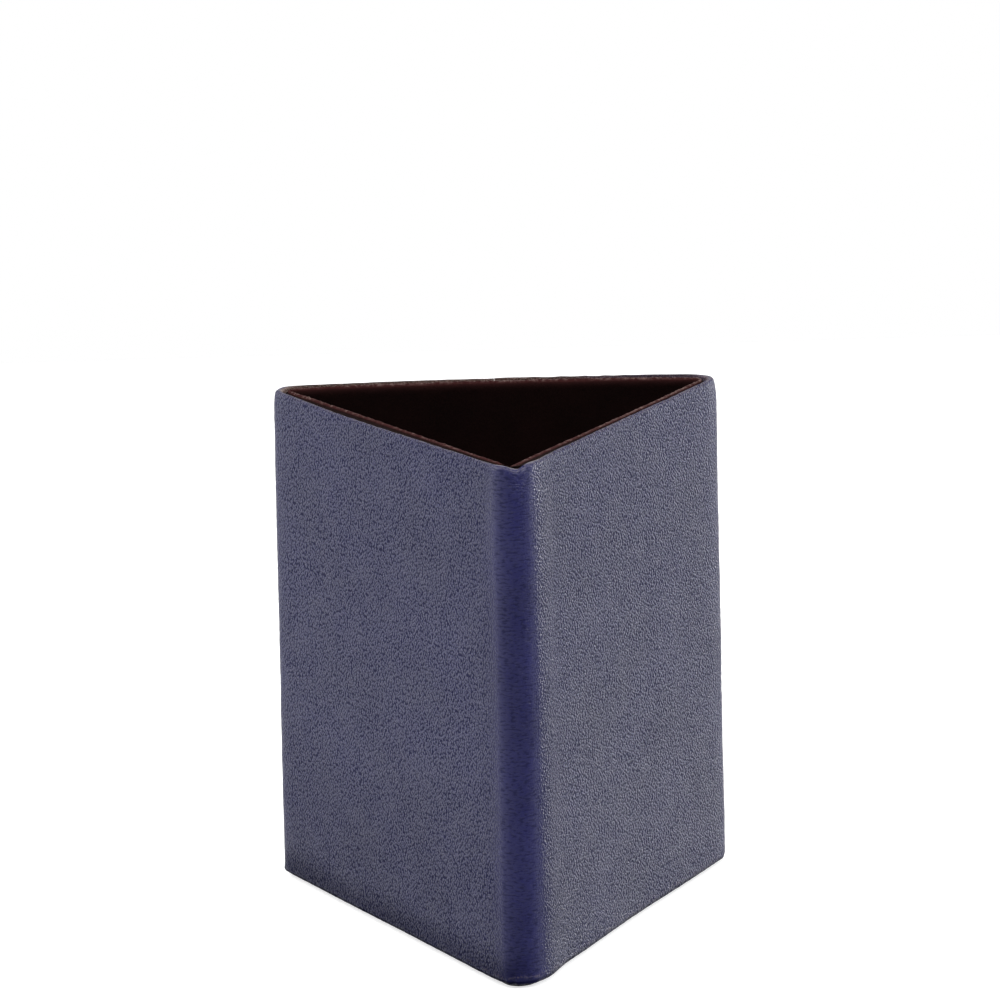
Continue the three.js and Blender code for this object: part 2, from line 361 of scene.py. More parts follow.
def leatherette():
    """Navy pebble grain. The grain stretches and flattens round the corners and wears pale at edges.
    Painted shade darkens the corners and the foot, and partly the grain's hollows.
    """
    surface = Surface("navy_leatherette")
    wrap = surface.wrap()
    stretch = surface.mark("stretch")
    wear = surface.mark("wear")
    foot = surface.mark("foot")
    raw = surface.mark("raw")
    shine = surface.mark("shine")

    drift = surface.noise(wrap, 1.1, 2.0, flat=True).outputs["Color"]
    drift = surface.vector("MULTIPLY", surface.vector("SUBTRACT", drift, (0.5, 0.5, 0.5)), (0.35, 0.35, 0))
    warped = surface.vector("MULTIPLY", surface.vector("ADD", wrap, drift), (1.3, 1.0, 0.0))
    pebble = surface.add("TexVoronoi", {"voronoi_dimensions": "2D", "feature": "SMOOTH_F1"},
                         {"Vector": warped, "Scale": 1 / PEBBLE_SIZE, "Smoothness": 0.2, "Randomness": 1.0})
    pebble = surface.scaled(pebble.outputs["Distance"], 0.05, 0.6, 1.0, 0.0)
    stretched = surface.vector("MULTIPLY", wrap, (0.32, 1.2, 1))
    crease = surface.noise(stretched, 0.42, 2.0, 0.55, flat=True).outputs[0]
    crease = surface.scaled(crease, 0.3, 0.7)
    pore = surface.noise(wrap, 0.2, 2.0, 0.7, flat=True).outputs[0]
    pore = surface.scaled(pore, 0.3, 0.7)
    patch = surface.noise(wrap, 7.0, 3.0, 0.55, flat=True).outputs[0]
    strength = surface.scaled(patch, 0.3, 0.7, 0.9, 1.05)
    strength = surface.maths("MULTIPLY", strength, surface.scaled(stretch, 0.0, 1.0, 1.0, 0.08))
    grain = surface.maths("MULTIPLY", pebble, strength)
    normal = surface.bump(grain, 0.2)
    normal = surface.bump(surface.maths("MULTIPLY", crease, stretch), 0.045, normal)
    normal = surface.bump(surface.maths("MULTIPLY", pore, strength), 0.03, normal)

    mottle = surface.noise(wrap, 14.0, 4.0, 0.6, flat=True).outputs[0]
    navy = surface.mix(surface.scaled(mottle, 0.35, 0.65), NAVY_DEEP, NAVY_LIGHT)
    # Hollows of the grain, pores and corner creases are darkened: partly the worn-lighter tops of the
    # grain, partly painted shade in the hollows.
    valley = surface.maths("MULTIPLY", surface.scaled(pebble, 0.0, 0.55, 1.0, 0.0), strength)
    pit = surface.maths("MULTIPLY", surface.scaled(pore, 0.15, 0.5, 1.0, 0.0), strength)
    fold = surface.maths("MULTIPLY", surface.scaled(crease, 0.1, 0.55, 0.6, 0.0), stretch)
    hollow = surface.maths("MAXIMUM", surface.maths("MAXIMUM", valley, pit), fold)
    navy = surface.mix(surface.maths("MULTIPLY", hollow, 0.75), navy, NAVY_HOLLOW)
    # Round the corners, most at the front, the colour is darkened by up to a fifth: painted shade.
    navy = surface.mix(surface.scaled(stretch, 0.0, 0.5, 0.0, 0.2), navy, BLACK)
    scuff = surface.noise(wrap, 0.5, 4.0, 0.65, flat=True).outputs[0]
    scuff = surface.maths("MULTIPLY", wear, surface.scaled(scuff, 0.42, 0.58))
    colour = surface.mix(scuff, navy, SCUFFED)
    # The foot is painted near black: painted shade where the leather turns under and low on the left side.
    colour = surface.mix(surface.maths("MULTIPLY", foot, 0.9), colour, NAVY_FOOT_SHADE)
    brown = surface.mix(surface.scaled(pore, 0.2, 0.8), RAW_EDGE_DARK, RAW_EDGE_LIGHT)
    colour = surface.mix(raw, colour, brown)
    gloss = surface.scaled(hollow, 0.0, 1.0, 0.82, 0.08)
    gloss = surface.maths("MULTIPLY", gloss, surface.scaled(shine, 0.0, 1.0, 0.7, 1.45))
    gloss = surface.maths("MULTIPLY", gloss, surface.scaled(stretch, 0.0, 0.5, 1.0, 0.76))
    gloss = surface.maths("MULTIPLY", gloss, surface.scaled(foot, 0.0, 0.8, 1.0, 0.02))
    gloss = surface.maths("MULTIPLY", gloss, surface.scaled(wear, 0.0, 0.6, 1.0, 0.35))
    rough = surface.scaled(surface.noise(wrap, 3.0, 3.0, flat=True).outputs[0], 0.3, 0.7, 0.30, 0.38)
    rough = surface.maths("ADD", rough, surface.maths("MULTIPLY", hollow, 0.15))
    return surface.finish(Base_Color=colour, Roughness=rough, Normal=normal, Specular_IOR_Level=gloss)


# The suede's colours are kept near black: painted shade for the dim inside of the cup.
SUEDE_DEEP = (0.0016, 0.0005, 0.0005)
SUEDE_BRUSHED = (0.0038, 0.0012, 0.0011)
SUEDE_FIBRE = (0.007, 0.0023, 0.002)
SUEDE_LIT_NEAR_RIM = (0.030, 0.0085, 0.0085)
SUEDE_CREST_WEAR_AND_HIGHLIGHT_DARK = (0.034, 0.014, 0.014)
SUEDE_CREST_WEAR_AND_HIGHLIGHT_LIGHT = (0.125, 0.080, 0.073)
SUEDE_SHEEN = (0.6, 0.30, 0.25)


def suede(name, nap_size):
    """Dark maroon suede, its nap brushed in patches, its colours kept near black as painted shade for the
    dim inside of the cup, with a painted lit band below the rim and a tan crest where it folds over an
    edge, partly worn and partly a painted highlight.
    """
    surface = Surface(name)
    place = surface.place()
    crest = surface.mark("crest")
    fibre = surface.noise(place, 0.18, 4.0, 0.7).outputs[0]
    clump = surface.noise(place, 0.6, 4.0, 0.7).outputs[0]
    tuft = surface.noise(place, 1.2, 3.0, 0.6).outputs[0]
    gap = surface.noise(place, 2.4, 2.0, 0.5).outputs[0]
    nap = surface.noise(place, nap_size, 3.0, 0.5).outputs[0]
    brushed = surface.mix(surface.scaled(nap, 0.4, 0.62), SUEDE_DEEP, SUEDE_BRUSHED)
    brushed = surface.mix(surface.scaled(fibre, 0.35, 0.7), brushed, SUEDE_FIBRE)
    # A painted lit band just below the crest, fading down into the dark inside.
    lit_near_rim = surface.mix(surface.scaled(crest, 0.0, 0.3), brushed, SUEDE_LIT_NEAR_RIM)
    # The crest turns tan: partly worn suede, partly a painted highlight where light catches it.
    tan = surface.mix(surface.scaled(clump, 0.42, 0.58), SUEDE_CREST_WEAR_AND_HIGHLIGHT_DARK, SUEDE_CREST_WEAR_AND_HIGHLIGHT_LIGHT)
    crest_wear_and_light = surface.scaled(crest, 0.2, 1.0)
    crest_wear_and_light = surface.maths("MULTIPLY", crest_wear_and_light, surface.scaled(tuft, 0.4, 0.58, 0.2, 1.0))
    crest_wear_and_light = surface.maths("MULTIPLY", crest_wear_and_light, surface.scaled(gap, 0.38, 0.62, 0.45, 1.35))
    colour = surface.mix(crest_wear_and_light, lit_near_rim, tan)
    normal = surface.bump(clump, 0.12)
    normal = surface.bump(fibre, 0.06, normal)
    rough = surface.scaled(fibre, 0.3, 0.7, 0.85, 1.0)
    return surface.finish(Base_Color=colour, Roughness=rough, Normal=normal, Specular_IOR_Level=0.04,
                          Sheen_Weight=0.01, Sheen_Roughness=0.45, Sheen_Tint=SUEDE_SHEEN)


SHEET_BLACK = (0.006, 0.006, 0.008)
SHEET_FIBRE = (0.020, 0.020, 0.024)
SHEET_PATCH = (0.026, 0.026, 0.030)
SHEET_DOT_SPACING = 1.1


def base_sheet():
    """Thin black non-woven sheet: matted fibres with a fine embossed dot pattern."""
    surface = Surface("black_base_sheet")
    place = surface.place()
    fibre = surface.noise(place, 0.35, 5.0, 0.75).outputs[0]
    patch = surface.noise(place, 5.0, 3.0).outputs[0]
    dot = surface.add("TexVoronoi", {"voronoi_dimensions": "2D"},
                      {"Vector": place, "Scale": 1 / SHEET_DOT_SPACING, "Randomness": 0.0})
    dot = surface.scaled(dot.outputs["Distance"], 0.12, 0.3)
    colour = surface.mix(surface.scaled(fibre, 0.35, 0.65), SHEET_BLACK, SHEET_FIBRE)
    colour = surface.mix(surface.scaled(patch, 0.4, 0.7, 0.0, 0.3), colour, SHEET_PATCH)
    normal = surface.bump(dot, 0.05)
    normal = surface.bump(fibre, 0.05, normal)
    rough = surface.scaled(dot, 0.0, 1.0, 0.6, 0.85)
    return surface.finish(Base_Color=colour, Roughness=rough, Normal=normal)


BOARD_DARK = (0.20, 0.125, 0.070)
BOARD_LIGHT = (0.36, 0.25, 0.15)
BOARD_FLECK = (0.09, 0.05, 0.03)
BOARD_TOP_SHADE = (0.004, 0.0015, 0.0015)
TOP_SHADE_DEPTH = (2.2, 1.6)  # below the boards' top: where the painted shade starts, and where it is full


def fibreboard():
    """Raw brown fibreboard: pressed fibres, darker flecks, and a top edge painted near black as shade
    beside the dark inside of the cup.
    """
    surface = Surface("raw_fibreboard")
    place = surface.place()
    height = surface.add("SeparateXYZ", None, {"Vector": place}).outputs["Z"]
    fibre = surface.noise(surface.vector("MULTIPLY", place, (1, 1, 0.3)), 0.5, 5.0, 0.7).outputs[0]
    fleck = surface.noise(place, 0.9, 2.0).outputs[0]
    colour = surface.mix(surface.scaled(fibre, 0.3, 0.7), BOARD_DARK, BOARD_LIGHT)
    colour = surface.mix(surface.scaled(fleck, 0.62, 0.72, 0.0, 0.7), colour, BOARD_FLECK)
    # The boards' top edge turns near black: painted shade.
    top_shade = surface.scaled(height, *(BOARD_TOP - depth for depth in TOP_SHADE_DEPTH))
    colour = surface.mix(top_shade, colour, BOARD_TOP_SHADE)
    rough = surface.scaled(fibre, 0.3, 0.7, 0.8, 0.95)
    return surface.finish(Base_Color=colour, Roughness=rough, Normal=surface.bump(fibre, 0.08),
                          Specular_IOR_Level=0.1)


# ---------------------------------------------------------------- camera, at the photograph's angle

CAMERA_PLACE = (-0.0249, -0.7360, 0.2521)
CAMERA_YAW = math.radians(1.893)  # towards +X
CAMERA_PITCH = math.radians(13.453)  # downwards
CAMERA_ROLL = math.radians(-1.239)
CAMERA_LENS = 159.48


def add_camera():
    data = bpy.data.cameras.new("camera")
    data.sensor_width = 36
    data.lens = CAMERA_LENS
    data.clip_start = 0.05
    data.clip_end = 10
    camera = bpy.data.objects.new("camera", data)
    bpy.context.scene.collection.objects.link(camera)
    level = math.cos(CAMERA_PITCH)
    sin_yaw, cos_yaw = math.sin(CAMERA_YAW), math.cos(CAMERA_YAW)
    forward = Vector((sin_yaw * level, cos_yaw * level, -math.sin(CAMERA_PITCH)))
    right = Vector((cos_yaw, -sin_yaw, 0))
    up = right.cross(forward)
    cos_roll, sin_roll = math.cos(CAMERA_ROLL), math.sin(CAMERA_ROLL)
    across = right * cos_roll + up * sin_roll
    upright = up * cos_roll - right * sin_roll
    turn = Matrix((across, upright, -forward)).transposed()
    camera.matrix_world = Matrix.Translation(CAMERA_PLACE) @ turn.to_4x4()
    bpy.context.scene.camera = camera


# ---------------------------------------------------------------- outer cover

# Extra columns beside the seam, in millimetres from its middle, where the two cut ends round down.
SEAM_COLUMNS = (0.09, 0.16, 0.26, 0.4, 0.62)
SEAM_ROUND = 0.16
SEAM_ROUND_REACH = 0.4
SIDES_BLEND = (4, 32)  # distance from the seam over which the left and right sides grow apart

HEM_INSETS = (HEM_WIDTH, 6.5, 5.0, 4.0, 3.2, 2.6, 2.1, 1.6)
HEM_FREE = 0.6  # how freely the hem's leather ripples, against 1 on the walls
TURN_STEPS = 12
WALL_BOTTOM = HEM_BOTTOM + HEM_EDGE_RADIUS
FOOT_HEIGHT = 2.4  # of the finer rows at the bottom of a wall
FOOT_STEPS = 13
RIM_HEIGHT = 5  # of the wall's top stretch, where the rows get finer again and the rim's dips begin
WALL_ROW_STEPS = 130

# Slow departures of the walls from flat: (millimetres past the front corner, along the wall to the
# right if positive; reach along the wall; height), as soft bumps and hollows.
WALL_SHAPE = ((7.5, 4.0, 0.6), (42, 16, -0.35))
FRONT_RECESS = 0.9  # how much rounder than the boards the wrap leaves the front corner
FRONT_RECESS_REACH = 4.2

# How much of the profile's corner depth each corner takes: (millimetres past the front corner, share).
RIM_ROUNDING = ((-20, 0.4), (-8, 0.35), (8, 0.35), (20, 0.75))

# The rim isn't level: (millimetres past the front corner, how low it sits there). It also has a
# notch just right of the front corner, wider on its left side.
RIM_DIPS = ((-76, 0.05), (-60, 0.45), (-46, 0.52), (-13, 0.27), (28, 0.25), (53, 0.14), (74, 0.0))
RIM_NOTCH = 0.7
RIM_NOTCH_PLACE = 1.4
RIM_NOTCH_LEFT_REACH = 1.9
RIM_NOTCH_RIGHT_REACH = 1.3

# Rows of the wrap over the rim: (drop below the top, depth behind a wall's face, depth at a corner).
RIM_PROFILE = (
    (4.2, 0.00, 0.03), (3.4, 0.00, 0.07), (2.7, 0.01, 0.13), (2.1, 0.02, 0.20), (1.6, 0.03, 0.28),
    (1.2, 0.04, 0.37), (0.85, 0.06, 0.46), (0.6, 0.09, 0.54), (0.4, 0.14, 0.61), (0.25, 0.21, 0.70),
    (0.14, 0.30, 0.80), (0.06, 0.42, 0.92), (0.0, 0.58, 1.08),
)
# Rows from the top edge to the lip: (share of the way, drop below the top, how much raw edge shows).
LIP_PROFILE = ((0.3, 0.0, 0.0), (0.5, 0.01, 0.7), (0.75, 0.05, 1.0), (0.93, 0.14, 1.0), (1.0, 0.3, 1.0))
LIP_WEAR = 0.5

# Painted shade at the foot: (how dark, height where it starts to fade, height where it is gone). The
# first is where the leather turns under, the others are on the left side only.
FOOT_TURN_SHADE = (0.7, 1.2, 2.0)
FOOT_SHADE_FADES = ((0.42, 2.0, 8.0), (0.2, 8.0, 36.0))
FOOT_SHADE_ON_HEM = 0.35  # the hem's share of it
EVEN_SHINE = 0.4


class Cover:
    """The leatherette wrap. Its rows go once round its cross-section, and its columns round the cup."""

    def __init__(self):
        self.outside = self.face(0, CORNER_RADIUS)
        self.normal = outward(self.outside)
        self.wrap = distance_along(self.outside)
        extra = len(SEAM_COLUMNS)
        middles = self.wrap[[extra + MID_REAR_LEFT, extra + MID_FRONT, extra + MID_REAR_RIGHT]]
        self.mid_left_wall = extra + MID_REAR_LEFT + WALL_STEPS // 2
        self.from_seam = np.minimum(self.wrap, self.wrap[-1] - self.wrap)
        self.past_front = self.wrap - middles[1]
        # What differs between the left and right sides evens out across the rear wall.
        self.away_from_seam = smooth(self.from_seam, *SIDES_BLEND)
        # 1 round a corner and 0 along a wall. The bends reach further on the right.
        from_corner = np.abs(self.wrap[:, None] - middles).min(1)
        on_right = self.past_front > 0
        self.bend = 1 - smooth(from_corner, np.where(on_right, 3.8, 2.6), np.where(on_right, 8.0, 7.0))

    def face(self, inset, radius):
        return outline(inset, radius, SEAM_COLUMNS)

    def outer(self, depth):
        """The outer face, set back by a depth."""
        return self.outside - self.normal * np.broadcast_to(depth, len(self.wrap))[:, None]

    def rows(self):
        """The drawn rows: points in plan, heights, and four traits of each row.

        The traits are edge wear, how free the leather is to ripple, its share of the walls' shape
        and how much raw edge shows.
        """
        rows = []

        def add_row(points, z, wear=0.0, free=0.0, shaped=0.0, raw=0.0):
            rows.append((points, np.full(len(self.wrap), z), wear, free, shaped, raw))

        # Hem, turned under the base board, from its inner edge outwards.
        for inset in HEM_INSETS:
            radius = max(HEM_INNER_RADIUS, CORNER_RADIUS - inset)
            add_row(self.face(inset, radius), HEM_BOTTOM, free=HEM_FREE, shaped=1.0)
        # Turned edge.
        for angle in np.radians(np.linspace(-90, 0, TURN_STEPS)):
            depth = HEM_EDGE_RADIUS * (1 - math.cos(angle))
            rise = HEM_EDGE_RADIUS * (1 + math.sin(angle))
            add_row(self.outer(depth), HEM_BOTTOM + rise, free=1.0, shaped=1.0)
        # Wall.
        foot_rows = np.linspace(WALL_BOTTOM, WALL_BOTTOM + FOOT_HEIGHT, FOOT_STEPS)
        wall_rows = np.linspace(WALL_BOTTOM + FOOT_HEIGHT, HEIGHT - RIM_HEIGHT, WALL_ROW_STEPS)
        for z in np.concatenate([foot_rows[1:], wall_rows[1:]]):
            add_row(self.outer(0), z, free=1.0, shaped=1.0)
        # Rim: the wrap closes in over the board's edge, more at the corners, and rounds over to the lip.
        rounding = self.bend * np.interp(self.past_front, *zip(*RIM_ROUNDING))
        for drop, wall_depth, corner_depth in RIM_PROFILE:
            depth = wall_depth + (corner_depth - wall_depth) * rounding
            wear = float(smooth(drop, 0.5, 0.1))
            free = float(smooth(drop, 0, 3))
            add_row(self.outer(depth), HEIGHT - drop, wear, free, shaped=1.0)
        top_edge = rows[-1][0]
        lip = self.face(LIP_INSET, LIP_RADIUS)
        for share, drop, raw in LIP_PROFILE:
            points = top_edge + (lip - top_edge) * share
            add_row(points, HEIGHT - drop, LIP_WEAR, shaped=1 - 0.8 * share, raw=raw)
        # Inner face, glued to the boards, and the top of the hem.
        inside = self.face(COVER_THICKNESS, COVER_INNER_RADIUS)
        add_row(inside + (lip - inside) * 0.5, BOARD_TOP + 0.12, raw=1.0)
        for z in (BOARD_TOP - 0.2, HEIGHT * 0.7, HEIGHT * 0.4, HEIGHT * 0.1, HEM_TOP):
            add_row(inside, z)
        for inset in (3.2, 5.0, HEM_WIDTH):
            add_row(self.face(inset, HEM_INNER_RADIUS), HEM_TOP)
        plan, z, *traits = (np.array(part) for part in zip(*rows))
        return plan, z, [trait[:, None] for trait in traits]

    def ridge(self, u, v, z, free):
        """A scuffed ridge just above the turned edge, strongest at the front and right."""
        height = WALL_BOTTOM + 0.4 + 0.10 * ripples(u, 0 * v, 6, 4)
        ridge = np.exp(-(((z - height) / 0.22) ** 2)) * (free > 0.9)
        ridge = ridge * np.clip(0.6 + 0.4 * ripples(u, v, 2.2, 5), 0, 1.4)
        return ridge * (0.4 + 0.6 * smooth(self.past_front, -25, -5) * self.away_from_seam)

    def rise(self, u, v, z, free, shaped, ridge):
        """How far the leather stands out from its drawn place. Leather never lies dead flat."""
        swell = 0.035 * ripples(u, v, 30, 1) + 0.012 * ripples(u, v, 9, 2)
        turned_under = 1 - smooth(z, 1.2, 3.4)
        gathers = ripples(u, v * 0.25, 1.7, 3) * (0.02 + 0.04 * self.bend) * turned_under
        corner_folds = 0.012 * self.bend * ripples(u * 0.25, v, 1.3, 6)
        wall_shape = 0
        for place, reach, height in WALL_SHAPE:
            wall_shape = wall_shape + height * np.exp(-(((self.past_front - place) / reach) ** 2))
        recess = FRONT_RECESS * np.exp(-((self.past_front / FRONT_RECESS_REACH) ** 2))
        recess = recess * (1 - 0.7 * smooth(z, 60, HEIGHT))
        seam_round = SEAM_ROUND * np.clip(1 - self.from_seam / SEAM_ROUND_REACH, 0, 1) ** 2
        rippled = (swell + gathers + corner_folds) * free
        return rippled + 0.12 * ridge + (wall_shape - recess) * shaped - seam_round * (shaped > 0)

    def rim_dip(self):
        """How low the rim sits along the cup."""
        dip = np.interp(self.past_front, *zip(*RIM_DIPS))
        dip = dip + 0.04 * np.abs(ripples(self.wrap, 0 * self.wrap, 7, 7))
        past_notch = self.past_front - RIM_NOTCH_PLACE
        notch_reach = np.where(past_notch < 0, RIM_NOTCH_LEFT_REACH, RIM_NOTCH_RIGHT_REACH)
        return dip + RIM_NOTCH * np.exp(-((past_notch / notch_reach) ** 2))

    def foot(self, z, free, shaped):
        """How dark the foot is painted as shade: where it turns under, and fading up the wall on the left
        side.
        """
        left_side = (1 - smooth(self.past_front, -2, 6)) * self.away_from_seam
        turn, turn_low, turn_high = FOOT_TURN_SHADE
        foot = (1 - smooth(z, turn_low, turn_high)) * (turn + (1 - turn) * left_side)
        fade = sum(dark * (1 - smooth(z, low, high)) for dark, low, high in FOOT_SHADE_FADES)
        foot = np.maximum(foot, fade * left_side * (shaped > 0))
        return foot * np.where(free == HEM_FREE, FOOT_SHADE_ON_HEM, 1.0)

    def shine(self, z):
        """The right wall is dull near the rim and glossy near the foot; the rest is even."""
        right_side = smooth(self.past_front, 6, 14) * self.away_from_seam
        return EVEN_SHINE + right_side * (1 - EVEN_SHINE - smooth(z, 5, HEIGHT))

    def build(self):
        plan, z, (wear, free, shaped, raw) = self.rows()
        middle_column = np.concatenate([plan, z[:, :, None]], 2)[:, self.mid_left_wall]
        u, v = np.meshgrid(self.wrap, distance_along(middle_column))
        ridge = self.ridge(u, v, z, free)
        plan = plan + self.normal * self.rise(u, v, z, free, shaped, ridge)[:, :, None]
        z = z - self.rim_dip() * smooth(z, HEIGHT - RIM_HEIGHT, HEIGHT - 1)
        # The rear right corner shows less raw edge, and edges are more worn on the right.
        raw = raw * (1 - 0.5 * smooth(self.past_front, 60, 80) * self.away_from_seam)
        wear = wear * (0.5 + 0.45 * smooth(self.past_front, -5, 40) * self.away_from_seam)
        wear = np.clip(wear + 0.8 * ridge, 0, 1)
        # The leather is stretched most at the front corner, and there its colour is painted darkest as
        # shade.
        stretch = self.bend * (1 - 0.6 * smooth(np.abs(self.past_front), 8, 20))
        grid = np.concatenate([plan, z[:, :, None]], 2)
        return skin("leatherette_cover", grid, np.stack([u, v], 2), "rows", stretch=stretch, wear=wear,
                    foot=self.foot(z, free, shaped), raw=raw, shine=self.shine(z))


# ---------------------------------------------------------------- linings


def wall_part(points, wall):
    """The columns of an outline that belong to one wall, from mitre to mitre."""
    if wall == "left":
        return points[MID_REAR_LEFT:MID_FRONT + 1]
    if wall == "right":
        return points[MID_FRONT:MID_REAR_RIGHT + 1]
    return np.concatenate([points[MID_REAR_RIGHT:-1], points[:MID_REAR_LEFT + 1]])


# Rows of a lining over its board's top edge: (inset, drop below the lining's top, how worn and lit,
# which is wear with a painted highlight on the crest and a painted lit band below it). A cut edge next
# to the cover, a low groove, a soft crest, then down the inside.
FOLD_PROFILE = (
    (1.30, 0.44, 0.0), (1.32, 0.38, 0.0), (1.42, 0.34, 0.0), (1.60, 0.34, 0.0), (1.80, 0.34, 0.0),
    (2.04, 0.32, 0.0), (2.24, 0.23, 0.1), (2.40, 0.10, 0.7), (2.54, 0.02, 1.0), (2.72, 0.00, 1.0),
    (2.88, 0.04, 0.8), (3.04, 0.14, 0.4), (3.18, 0.29, 0.16), (3.29, 0.48, 0.08), (3.36, 0.70, 0.05),
    (3.39, 0.95, 0.03), (3.40, 1.25, 0.01),
)
# The crest isn't level: (millimetres from the front end, or from the left end of the rear wall, and
# how high it stands above its mean level there).
CREST_RISE = {
    "left": ((0, -0.30), (6, -0.05), (13, -0.05), (48, 0.13), (62, 0.18), (74, 0.22)),
    "right": ((0, -0.38), (7, -0.10), (55, -0.07), (74, 0.15)),
    "back": ((0, 0.2), (12, 0.32), (60, 0.30), (74, 0.15)),
}
# How worn and lit the crest is, wear with a painted highlight, from 0 to 1, measured along it in the same
# way.
CREST_WEAR_AND_LIGHT = {
    "left": ((2.5, 0), (5.5, 0.65), (45, 0.6), (62, 1)),
    "right": ((0.5, 0), (2.2, 0.8), (25, 0.75), (52, 1)),
    "back": ((0, 0.8), (60, 1)),
}


FOLD_BOTTOM = LINING_TOP - LINING_THICKNESS
FOLD_EDGE_ROW = 5  # a row at the fold's cut edge, along which a panel is measured
LINING_OUTSIDE_INSET = COVER_THICKNESS + GLUE + BOARD_THICKNESS + GLUE
LINING_INSIDE_INSET = LINING_OUTSIDE_INSET + LINING_THICKNESS


def fold_radius(inset):
    share = (inset - FOLD_INSET) / (LINING_INSIDE_INSET - FOLD_INSET)
    return FOLD_RADIUS + (PANEL_INNER_RADIUS - FOLD_RADIUS) * share


def lining_rows(wall):
    """Rows of a panel: points in plan, heights, how worn and lit (wear with painted light), and 1 where it
    shows and 0 where it's glued.
    """
    rows = []

    def add_row(inset, radius, z, crest_wear_and_light, shown):
        points = wall_part(outline(inset, radius), wall)
        rows.append((points, np.full(len(points), z), crest_wear_and_light, shown))

    # Underside of the fold, then over it, down the inside and up behind.
    add_row(LINING_OUTSIDE_INSET, PANEL_INNER_RADIUS, FOLD_BOTTOM, 0.0, 0.0)
    for inset in (2.3, 1.8, FOLD_INSET + 0.15):
        add_row(inset, fold_radius(inset), FOLD_BOTTOM, 0.0, 0.0)
    for inset, drop, crest_wear_and_light in FOLD_PROFILE:
        add_row(inset, fold_radius(inset), LINING_TOP - drop, crest_wear_and_light, 1.0)
    for drop in (1.7, 2.3, 3.1, 4.0, 5.0, 6.2, 7.5, 9.0, 11.0):
        add_row(LINING_INSIDE_INSET, PANEL_INNER_RADIUS, LINING_TOP - drop, 0.0, 1.0)
    for z in np.linspace(LINING_TOP - 13, LINING_BOTTOM, 38):
        add_row(LINING_INSIDE_INSET, PANEL_INNER_RADIUS, z, 0.0, 1.0)
    for z in (LINING_BOTTOM, HEIGHT / 2, FOLD_BOTTOM - 0.3):
        add_row(LINING_OUTSIDE_INSET, PANEL_INNER_RADIUS, z, 0.0, 0.0)
    plan, z, crest_wear_and_light, shown = (np.array(part) for part in zip(*rows))
    return plan, z, crest_wear_and_light[:, None], shown[:, None]


def clear_mitres(plan, edge):
    """Moves each end of a panel a little clear of the mitre plane, and its next column half as far."""
    for end, inner in ((0, 1), (-1, -2)):
        bisector = edge[end] - np.array([0, AXIS_Y])
        bisector = bisector / np.linalg.norm(bisector)
        across = np.array([-bisector[1], bisector[0]])
        across = across * np.sign((edge[WALL_STEPS // 2] - edge[end]) @ across)
        plan[:, end] += MITRE_CLEARANCE * across
        plan[:, inner] += MITRE_CLEARANCE * 0.5 * across


def wall_lining(wall, seed):
    """A suede panel inside its board, folded over the board's top edge in a soft rounded crest."""
    plan, z, crest_wear_and_light, shown = lining_rows(wall)
    edge = plan[FOLD_EDGE_ROW]
    wrap = distance_along(edge)
    middle_column = np.concatenate([plan, z[:, :, None]], 2)[:, WALL_STEPS // 2]
    u, v = np.meshgrid(wrap, distance_along(middle_column))
    normal = outward(edge)
    clear_mitres(plan, edge)

    # Soft cloth: uneven crest, faint swelling over the glue, ends pressed down at the mitre.
    from_end = np.minimum(wrap, wrap[-1] - wrap)
    from_start = wrap if wall == "right" else wrap[-1] - wrap
    swell = 0.03 * ripples(u, v, 11, seed) + 0.02 * ripples(u, v, 2.4, seed + 1)
    lump = (0.03 * ripples(u, v, 1.3, seed + 2) + 0.02 * ripples(u, v, 0.8, seed + 4)) * crest_wear_and_light
    pressed = 0.15 * (1 - smooth(from_end, 0.0, 1.2))
    plan = plan - normal * ((swell + lump - pressed) * shown)[:, :, None]
    rise = np.interp(from_start, *zip(*CREST_RISE[wall])) - pressed * 0.4
    ragged = 0.03 * ripples(u, v, 1.6, seed + 3) + 0.02 * ripples(u, v, 0.9, seed + 5)
    z = z + (rise + ragged) * smooth(z, FOLD_BOTTOM + 0.1, LINING_TOP) * shown
    z = np.minimum(z, HEIGHT - 0.02)
    crest_wear_and_light = crest_wear_and_light * np.interp(from_start, *zip(*CREST_WEAR_AND_LIGHT[wall]))
    grid = np.concatenate([plan, z[:, :, None]], 2)
    return skin(wall + "_suede_panel", grid, np.stack([u, v], 2), "rows", crest=crest_wear_and_light)


# ---------------------------------------------------------------- flat sheets


def rings(outside, profile):
    """Closed outlines from the middle of one face of a flat sheet to the middle of the other.

    outside is the sheet's widest outline. profile is a list of (share of its reach, height).
    """
    middle = np.array([0, AXIS_Y])
    grid = []
    for share, z in profile:
        plan = middle + (outside - middle) * share
        grid.append(np.concatenate([plan, np.full((len(plan), 1), z)], 1))
    return np.array(grid)


def closed_outline(inset, radius):
    return outline(inset, radius)[1:]


def floor_lining():
    """Suede on card, laid in the bottom, its edge soft."""
    outside = closed_outline(LINING_INSIDE_INSET + FIT_CLEARANCE, 0.5)
    middle_shares = np.linspace(0.02, 0.97, 40)
    profile = [(0.02, FLOOR_BOTTOM), (0.5, FLOOR_BOTTOM), (0.99, FLOOR_BOTTOM), (1.0, FLOOR_BOTTOM + 0.15),
               (1.0, FLOOR_TOP - 0.35), (0.995, FLOOR_TOP - 0.15), (0.985, FLOOR_TOP - 0.04)]
    profile += [(share, FLOOR_TOP) for share in middle_shares[::-1]]
    grid = rings(outside, profile)
    top = grid[:, :, 2] > FLOOR_TOP - 0.05
    x, y = grid[:, :, 0], grid[:, :, 1]
    uneven = 0.04 * ripples(x, y, 12, 31) + 0.02 * ripples(x, y, 3, 32)
    grid[:, :, 2] += uneven * top
    return skin("suede_floor", grid, grid[:, :, :2].copy(), "columns", crest=0.0)


